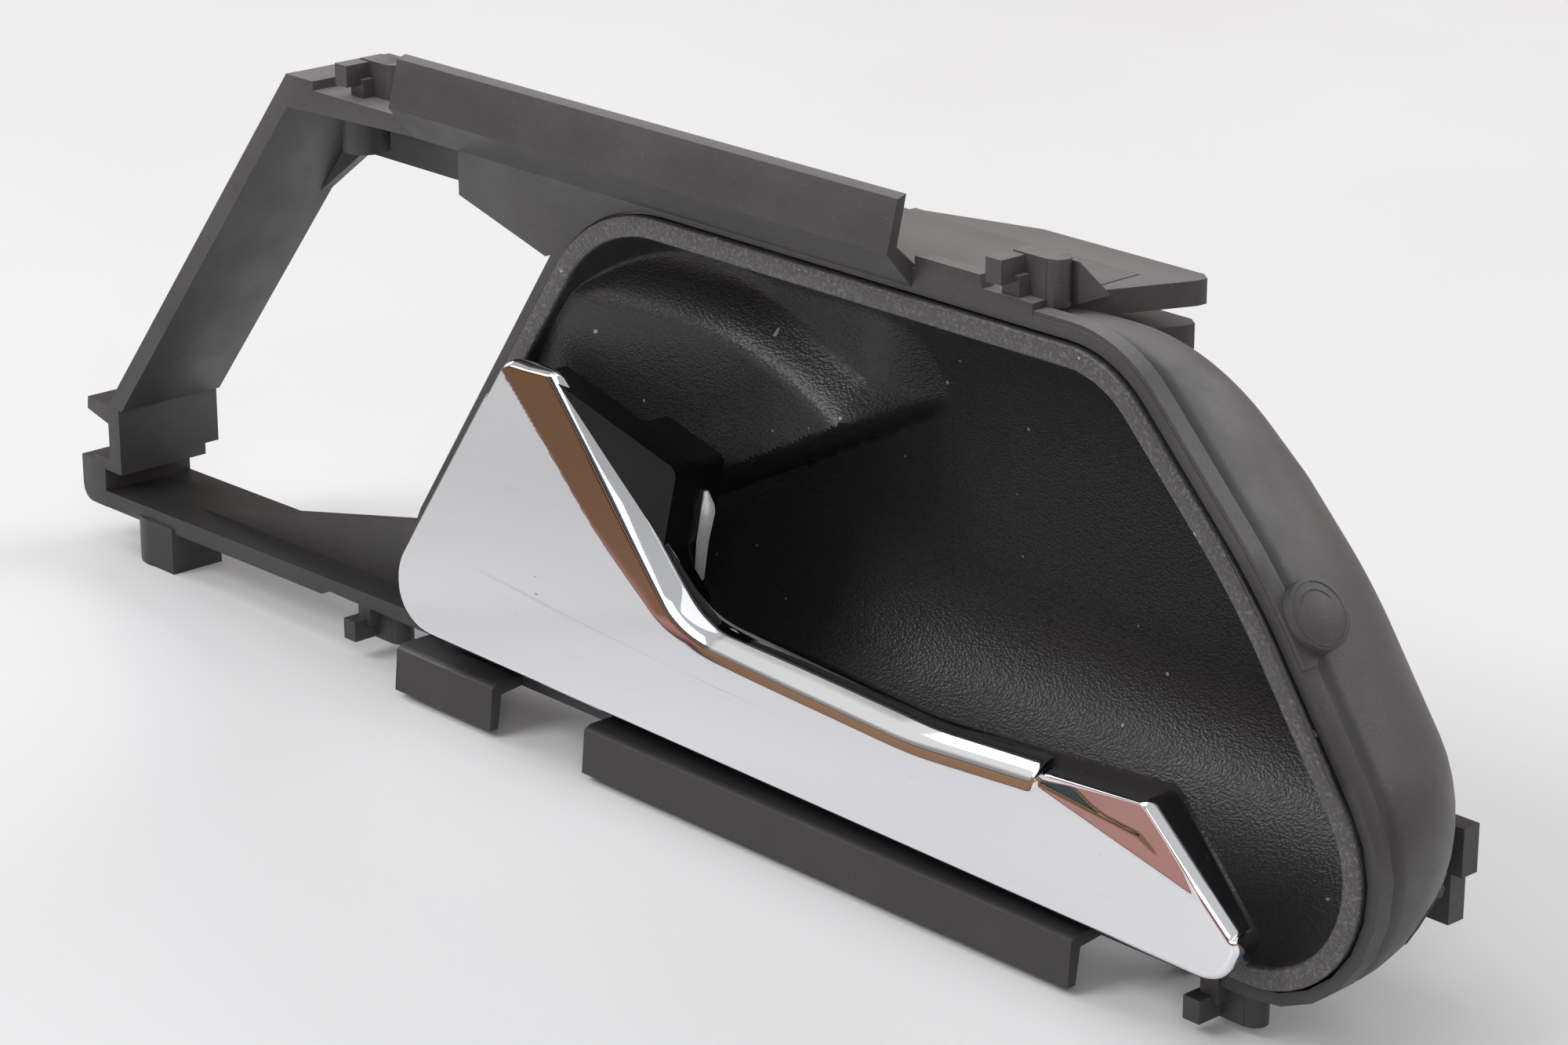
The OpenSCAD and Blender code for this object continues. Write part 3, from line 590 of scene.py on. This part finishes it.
def cap_y(x, z):
    """The cap's front at a point: flat face, bevel, rounded upper edge and the scoop at the right end."""
    f = flat_y(x, z)
    e = edge_distance(x, z, LONG_EDGE)
    at_scoop = smooth((x - SCOOP_START) / 3)
    room = edge_back(x, z) - f
    wide = BEVEL_MIN + BEVEL_MORE * smooth((-6 - x) / 34)
    r = LONG_R - 1.3 * at_scoop - 1.1 * smooth((-24 - x) / 14)
    slope = BEVEL_SLOPE + BEVEL_STEEPER * smooth((x + 15) / 25)
    over = np.maximum(r + wide - e, 0)
    bevel = smin(slope * over * over / (over + 0.12) * (1 - at_scoop), room - 0.4, 0.1)
    u = np.clip(1 - e / r, 0, 1)
    tip = np.clip(1 - edge_distance(x, z, TIP_EDGE) / TIP_R, 0, 1)
    u = np.maximum(u, tip)
    drop = bevel + (room - bevel - 0.25) * (1 - np.sqrt(np.maximum(0, 1 - 0.985 * u * u)))
    # Scoop: a facet above the ridge, a crease, then a hollow that ends at the raised lip
    h = smax(ridge_h(x, z), 0, 0.35)
    across = np.maximum(0.8, h + np.maximum(0, e - 1.2))
    crease = 0.34 * across
    step = 0.3 + 1.7 * smooth((58 - x) / 10)
    hollow = smin(smax(h - crease, 0, 0.2), step, 0.2) * smooth((SCOOP_END - x) / 5)
    fall = SCOOP_FALL * h + HOLLOW_FALL * hollow
    fall = np.minimum(fall, room - 0.5) * smooth((x - SCOOP_START + 2) / 4) * smooth((e - 0.8) / 0.8)
    return f + np.maximum(drop, fall)


def cap_ring(inset, s):
    p = to_core(outline(CAP, inset, ROUND_STEPS, CAP_FILL), s, CAP_CORE_A, CAP_CORE_B)
    x, z = p[:, 0], p[:, 1]
    y = cap_y(x, z)
    if s == 0:
        # The other edges roll over
        k = max(0.0, 1 - inset / ROLL_R)
        roll = ROLL_DEPTH * (1 - math.sqrt(max(0.0, 1 - k * k)))
        y = y + roll * smooth((edge_distance(x, z, UPPER_EDGE) - inset) / 1.5)
    return np.column_stack([x, y, z])


def cap_piece():
    rings = [cap_ring(CAP_INSETS[0], s) for s in np.linspace(CAP_CORE_END, 0, CAP_CORE_RINGS)[:-1]]
    first_edge = len(rings)
    rings += [cap_ring(inset, 0) for inset in CAP_INSETS]
    back = np.maximum(back_y(CAP_EDGE[:, 0]), rings[-1][:, 1] + 0.15)
    rings.append(np.column_stack([CAP_EDGE[:, 0], back, CAP_EDGE[:, 1]]))
    p = outline(CAP, CAP_BACK_INSET, ROUND_STEPS, CAP_FILL)
    rings.append(np.column_stack([p[:, 0], back, p[:, 1]]))
    rings.append(np.column_stack([p[:, 0], np.minimum(back_y(p[:, 0]), back) - 0.15, p[:, 1]]))
    o = skin("cap_chromed", rings)
    o.data.set_sharp_from_angle(angle=math.radians(CAP_SHARP_DEG))
    # Exact normals on the front, so that the plating reflects without facets
    points = np.vstack(rings)
    x, z, d = points[:, 0], points[:, 2], NORMAL_STEP
    gx = (cap_y(x + d, z) - cap_y(x - d, z)) / (2 * d)
    gz = (cap_y(x, z + d) - cap_y(x, z - d)) / (2 * d)
    nor = np.column_stack([gx, -np.ones(len(gx)), gz])
    nor /= np.linalg.norm(nor, axis=1)[:, None]
    nor[(first_edge + EXACT_INSETS) * len(CAP_EDGE):] = 0
    o.data.normals_split_custom_set_from_vertices([tuple(v) for v in nor])
    return o


cap = cap_piece()
dress(cap, "chrome", "lever")
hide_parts("lever_cap")

# Lever body with rounded edges, and its grip drawn in by a share for each mm behind a depth
DRAW_IN, DRAW_IN_MOST, DRAW_START_X, DRAW_START_Y = 0.045, 0.45, 22, -2.0


def draw_in_grip(o):
    """Draws the grip in towards its back, so that less of it shows above the plated lip."""
    back = o.matrix_world.inverted()
    for v in o.data.vertices:
        p = (o.matrix_world @ v.co) / MM - SHIFT
        t = min(1.0, max(0.0, (p.x - CAP_CORE_A.x) / (CAP_CORE_B.x - CAP_CORE_A.x)))
        core = CAP_CORE_A.lerp(CAP_CORE_B, t)
        s = min(DRAW_IN_MOST, DRAW_IN * max(0.0, p.y - DRAW_START_Y)) * float(smooth((p.x - DRAW_START_X) / 16))
        v.co = back @ row(p.x + s * (core.x - p.x), p.y, p.z + s * (core.y - p.z))


lever = bevelled_copy("lever_body", "lever_root", LEVER_BEVEL)
draw_in_grip(lever)
dress(lever, "black", "lever")
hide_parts("lever_body")

# Bright strip down the right edge of the lever's root, coloured white as a painted reflection of the light its
# glossy edge catches. The edge is a line through these heights
STRIP_STEPS, STRIP_TOP, STRIP_LENGTH, STRIP_SHARP_DEG = 14, -1.0, 14.0, 50
ROOT_EDGE_Z, ROOT_EDGE_X = (-15.6, -8.0, 2.9), (-19.8, -18.6, -15.6)
# The strip's section: share of its width and how far it bulges
STRIP_BULGE = ((0.0, 0.0), (0.25, 0.1), (0.5, 0.12), (0.75, 0.1), (1.0, 0.0))


def strip_piece():
    """The strip, narrower at its ends."""
    rings = []
    for k in range(STRIP_STEPS + 1):
        t = k / STRIP_STEPS
        z = STRIP_TOP - STRIP_LENGTH * t
        x = np.interp(z, ROOT_EDGE_Z, ROOT_EDGE_X) + 0.05
        y = 2.4 + 0.9 * t
        wide = (1.35 - 0.6 * t) * min(1.0, 0.3 + 4 * t, 0.2 + 6 * (1 - t))
        face = [(x + wide * share + out, y + wide * share - out, z) for share, out in STRIP_BULGE]
        rings.append(np.array(face + [(x - 0.3, y + wide + 0.3, z)]))
    o = skin("root_strip", rings)
    o.data.set_sharp_from_angle(angle=math.radians(STRIP_SHARP_DEG))
    return o


strip = strip_piece()
dress(strip, "white", "lever")

# A tube's radius at its ends, as a share, and how fast it grows along the tube
TUBE_END, TUBE_TAPER = 0.25, 6.0


def tube(name, path, radius, sides, flat=1.0):
    """A tube with tapered ends along drawing points. Its section is stretched front to back by flat."""
    pts = [Vector(q) for q in path]
    rings = []
    for i, q in enumerate(pts):
        d = (pts[min(i + 1, len(pts) - 1)] - pts[max(i - 1, 0)]).normalized()
        u = d.cross(Vector((0, 1, 0))).normalized()
        v = d.cross(u)
        from_end = min(i, len(pts) - 1 - i)
        k = radius * min(1.0, TUBE_END + TUBE_TAPER * from_end / len(pts))
        rings.append(np.array([tuple(q + u * k * math.cos(a) + v * k * flat * math.sin(a))
                               for a in [2 * math.pi * j / sides for j in range(sides)]]))
    return skin(name, rings)


def moulded_detail(name, path, radius, sides, flat=1.0):
    dress(tube(name, path, radius, sides, flat), "carrier", "base")


# Moulding flash in the groove at the right of the bowl's rim
def rim_path(top, low, inset, y, wob):
    """Slightly wavering points along the rim's right side, from the height top down to low."""
    right_side = [q for q in outline(RIM, inset, ROUND_STEPS, BOWL_FILL) if q[0] > 40 and low <= q[1] <= top]
    right_side.sort(key=lambda q: -q[1])
    return [(q[0] + wob * math.sin(7.3 * i) * 0.4, y + wob * math.sin(3.1 * i + 1),
             q[1] + wob * math.cos(5.7 * i) * 0.3) for i, q in enumerate(right_side)]


moulded_detail("rim_flash", rim_path(14.5, -7.0, -0.28, 0.15, 0.04), 0.2, 8, 1.6)
moulded_detail("rim_flash_low", rim_path(-2.0, -8.0, -0.25, 0.05, 0.13), 0.24, 8, 1.2)

# Marks on the end shell and on the disc at its side
MARK_STEPS, DISC_STEPS, DISC_LINE = 40, 48, 0.09
SHELL_EDGE = outline(RIM, SHELL_INSET - 0.04, ROUND_STEPS, BOWL_FILL)


def shell_point(t, s):
    """A point on the rounded shell: t runs along its outline's points and s from the ring to the core."""
    k = int(t)
    p = SHELL_EDGE[k] + (t - k) * (SHELL_EDGE[k + 1] - SHELL_EDGE[k])
    q = to_core(np.array([p]), s)[0]
    return Vector((q[0], float(shell_y(s)), q[1]))


def shell_mark(name, t0, s0, r_t, r_s, radius):
    """A ring that lies on the shell, as an ejector pin leaves it."""
    turns = [2 * math.pi * k / MARK_STEPS for k in range(MARK_STEPS + 1)]
    moulded_detail(name, [shell_point(t0 + r_t * math.cos(a), s0 + r_s * math.sin(a)) for a in turns], radius, 6)


shell_mark("ejector_ring", 108.4, 0.105, 1.9, 0.075, 0.11)
shell_mark("gate_mark", 109.9, 0.09, 0.12, 0.006, 0.42)
DISC_AXIS, DISC_UP = Vector((0.82, 0.0, 0.573)), Vector((-0.573, 0.0, 0.82))
DISC_MID = Vector((75.1, 5.2, 7.74)) + 1.9 * DISC_AXIS
for name, r, a0, a1 in (("disc_ring", 3.55, 0.0, 2 * math.pi), ("disc_score", 2.6, 0.4, 2.6)):
    angles = [a0 + (a1 - a0) * k / DISC_STEPS for k in range(DISC_STEPS + 1)]
    path = [DISC_MID + r * (math.cos(a) * Vector((0, 1, 0)) + math.sin(a) * DISC_UP) for a in angles]
    moulded_detail(name, path, DISC_LINE, 6)

# Return spring as a wound wire. Below it on the pin are the lower ear, play, the lever's barrel and play again.
COIL_START = HINGE_FOOT + 2.6 + 0.3 + 18.0 + 0.3
COIL_R, COIL_TURNS, COIL_STEPS, WIRE_R = 2.2, 5.0, 150, 0.45
COIL_LOW, COIL_RISE, LEG_Z, LEG = 0.5, 4.4, 4.9, (2.0, 5.0, 7.9)


def spring_piece():
    cu = bpy.data.curves.new("spring_wire", "CURVE")
    cu.dimensions = "3D"
    cu.bevel_depth = WIRE_R * MM
    cu.bevel_resolution = 3
    sp = cu.splines.new("POLY")
    place = hinge_place(COIL_START)
    pts = []
    for i in range(COIL_STEPS + 1):
        t = i / COIL_STEPS
        a = 2 * math.pi * COIL_TURNS * t
        pts.append((COIL_R * math.cos(a), COIL_R * math.sin(a), COIL_LOW + COIL_RISE * t))
    pts += [(COIL_R, y, LEG_Z) for y in LEG]
    sp.points.add(len(pts) - 1)
    for q, v in zip(sp.points, pts):
        q.co = (*(place @ (Vector(v) * MM)), 1.0)
    o = bpy.data.objects.new("spring_wire", cu)
    bpy.context.scene.collection.objects.link(o)
    return o


spring = spring_piece()
spring.data.materials.append(M["wire"])
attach(spring, "base")
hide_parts("return_spring")

# Camera at the photograph's angle
LENS_MM, SENSOR_MM = 99.0, 36.0
CAM_AT = (347.0, -318.5, 167.7)
CAM_RIGHT, CAM_UP = Vector((0.6763, 0.7366, 0.0)), Vector((-0.2471, 0.2269, 0.942))
cam_data = bpy.data.cameras.new("camera")
cam = bpy.data.objects.new("camera", cam_data)
bpy.context.scene.collection.objects.link(cam)
bpy.context.scene.camera = cam
cam_data.lens = LENS_MM
cam_data.sensor_width = SENSOR_MM
cam_data.clip_start = 0.01
turn = Matrix((CAM_RIGHT, CAM_UP, CAM_RIGHT.cross(CAM_UP))).transposed().to_4x4()
cam.matrix_world = Matrix.Translation(row(*CAM_AT)) @ turn

# Pale floor, its size in m
FLOOR_SIZE = 6.0
bpy.ops.mesh.primitive_plane_add(size=FLOOR_SIZE, location=(0, 0, 0))
floor = bpy.context.object
floor.name = "floor"
fm, nt, b = mat("floor_pale")
nt.links.new(mix_color(nt, noise(nt, 3.0, 3.0), (0.80, 0.80, 0.81), (0.84, 0.84, 0.85)), b.inputs["Base Color"])
nt.links.new(remap(nt, noise(nt, 8.0, 3.0), 0.3, 0.7, 0.28, 0.36), b.inputs["Roughness"])
floor.data.materials.append(fm)

# A plain white world. Only reflections see the room's coloured bands.
PLAIN_COLOR, PLAIN_LEVEL = (0.93, 0.935, 0.95, 1), 0.52
PALE = (0.72, 0.73, 0.75)
# Heights in the room and their colours, as a share of the way from just below the horizon to the zenith
WARM = ((0.0, PALE), (0.085, PALE), (0.095, (0.02, 0.02, 0.025)), (0.115, (0.22, 0.08, 0.07)),
        (0.15, (0.40, 0.19, 0.165)), (0.2, (0.50, 0.27, 0.24)), (0.23, (0.36, 0.18, 0.15)),
        (0.24, (0.27, 0.145, 0.085)), (0.36, (0.24, 0.13, 0.075)), (0.375, (0.015, 0.014, 0.02)),
        (0.41, (0.02, 0.018, 0.03)), (0.42, (0.42, 0.24, 0.15)), (0.455, (0.45, 0.27, 0.18)),
        (0.465, (0.012, 0.03, 0.016)), (0.485, (0.014, 0.035, 0.02)), (0.50, (0.08, 0.10, 0.12)),
        (0.56, (0.16, 0.18, 0.21)), (0.58, (0.62, 0.64, 0.66)), (0.92, (0.66, 0.67, 0.68)),
        (1.0, (0.6, 0.61, 0.62)))
SIDE = ((0.0, PALE), (0.085, PALE), (0.10, (0.02, 0.018, 0.018)), (0.13, (0.27, 0.15, 0.09)),
        (0.34, (0.36, 0.22, 0.14)), (0.37, (0.03, 0.02, 0.02)), (0.40, (0.30, 0.30, 0.30)),
        (0.50, (0.36, 0.36, 0.355)), (0.58, (0.9, 0.9, 0.9)), (0.78, (0.9, 0.9, 0.9)),
        (0.82, (0.45, 0.45, 0.44)), (1.0, (0.5, 0.5, 0.49)))
world = bpy.data.worlds.new("world")
bpy.context.scene.world = world
world.use_nodes = True
wt = world.node_tree
wt.nodes.clear()
w_out = wt.nodes.new("ShaderNodeOutputWorld")
plain = wt.nodes.new("ShaderNodeBackground")
plain.inputs["Color"].default_value = PLAIN_COLOR
plain.inputs["Strength"].default_value = PLAIN_LEVEL
room = wt.nodes.new("ShaderNodeBackground")
room.inputs["Strength"].default_value = 1.0
way = split_xyz(wt, wt.nodes.new("ShaderNodeTexCoord").outputs["Generated"])


def bands(stops):
    """A ramp over the height of the direction, from just below the horizon to the zenith."""
    ramp = wt.nodes.new("ShaderNodeValToRGB")
    el = ramp.color_ramp.elements
    while len(el) > 1:
        el.remove(el[-1])
    el[0].position, el[0].color = 0.0, (*stops[0][1], 1)
    for pos, col in stops[1:]:
        e = el.new(pos)
        e.color = (*col, 1)
    wt.links.new(remap(wt, way["Z"], -0.1, 1.0, 0.0, 1.0), ramp.inputs["Fac"])
    return ramp.outputs["Color"]


warm, side = bands(WARM), bands(SIDE)
to_side = remap(wt, way["X"], -0.60, -0.55, 1.0, 0.0)
wt.links.new(mix_color(wt, to_side, warm, side), room.inputs["Color"])
light_path = wt.nodes.new("ShaderNodeLightPath")
pick = wt.nodes.new("ShaderNodeMixShader")
wt.links.new(light_path.outputs["Is Glossy Ray"], pick.inputs["Fac"])
wt.links.new(plain.outputs["Background"], pick.inputs[1])
wt.links.new(room.outputs["Background"], pick.inputs[2])
wt.links.new(pick.outputs["Shader"], w_out.inputs["Surface"])

# Soft lights: place, size and power in watts. They face a point in the middle of the handle.
AIM = (0, 0, 0.03)
LIGHTS = (("key", (-0.35, -0.95, 1.0), (0.7, 0.5), 8.0), ("top", (-0.1, -0.1, 1.2), (0.8, 0.8), 1.5),
          ("left", (-1.0, -0.1, 0.7), (0.5, 0.5), 3.5), ("back", (0.25, 1.0, 0.6), (1.0, 0.4), 5.5),
          ("right", (0.9, -0.7, 0.7), (0.5, 0.5), 2.5))


def area(name, loc, size, power):
    d = bpy.data.lights.new(name, "AREA")
    d.shape = "RECTANGLE"
    d.size, d.size_y = size
    d.energy = power
    o = bpy.data.objects.new(name, d)
    bpy.context.scene.collection.objects.link(o)
    o.location = loc
    o.rotation_euler = (Vector(AIM) - Vector(loc)).to_track_quat("-Z", "Y").to_euler()


for light in LIGHTS:
    area(*light)

bpy.context.scene.view_settings.view_transform = "Standard"
